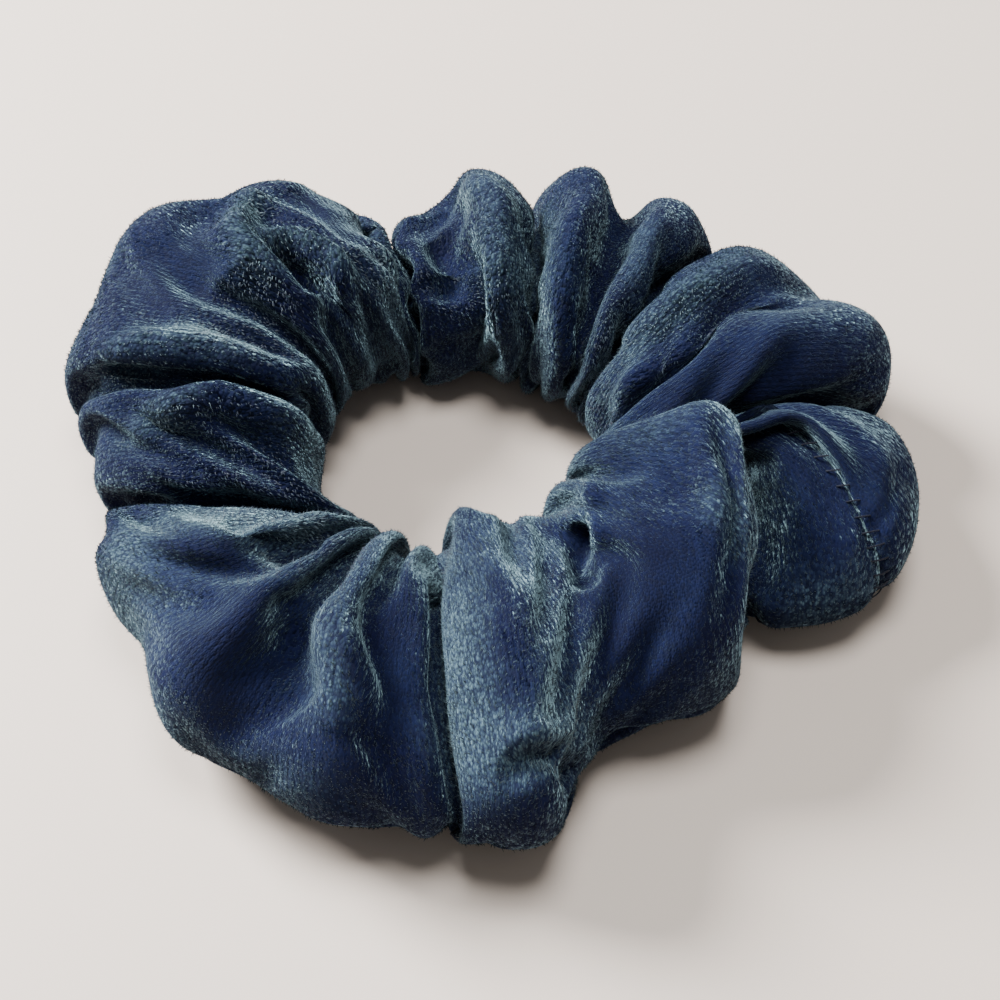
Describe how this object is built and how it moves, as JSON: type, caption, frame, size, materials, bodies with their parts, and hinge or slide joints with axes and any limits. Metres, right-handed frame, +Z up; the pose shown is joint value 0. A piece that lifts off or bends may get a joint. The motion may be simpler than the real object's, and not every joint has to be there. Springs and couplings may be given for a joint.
{
  "type": "scrunchie",
  "caption": "Gathered scrunchie of crushed velvet: a sewn tube of cloth bunched in soft puffs on a hidden loop of elastic, lying flat with an open hole for the hair.",
  "frame": {"origin": "middle of the base, on the table the scrunchie lies on", "axes": "+X across the hole, the way it is stretched; +Y to the back; +Z up from the table"},
  "size_m": [0.1134, 0.1018, 0.029],
  "materials": {
    "velvet": "crushed knit velvet with a short pile",
    "velvet_backing": "knit back of the velvet, raw edges",
    "thread": "spun polyester sewing thread",
    "elastic": "braided elastic tape"
  },
  "bodies": {
    "left_half": {"velvet_sleeve_left": "velvet", "long_seam_allowance_left": "velvet_backing", "long_seam_thread_left": "thread", "elastic_band": "elastic", "elastic_lap_stitches": "thread"},
    "right_half": {"velvet_sleeve_right": "velvet", "long_seam_allowance_right": "velvet_backing", "long_seam_thread_right": "thread", "closing_seam_allowance": "velvet_backing", "closing_seam_thread": "thread"}
  },
  "joints": [
    {"name": "stretch", "type": "slide", "parent": "left_half", "child": "right_half", "axis": [1, 0, 0], "range_m": [0, 0.07], "stiffness_N_per_m": 60, "deforming": ["elastic_band"]}
  ]
}
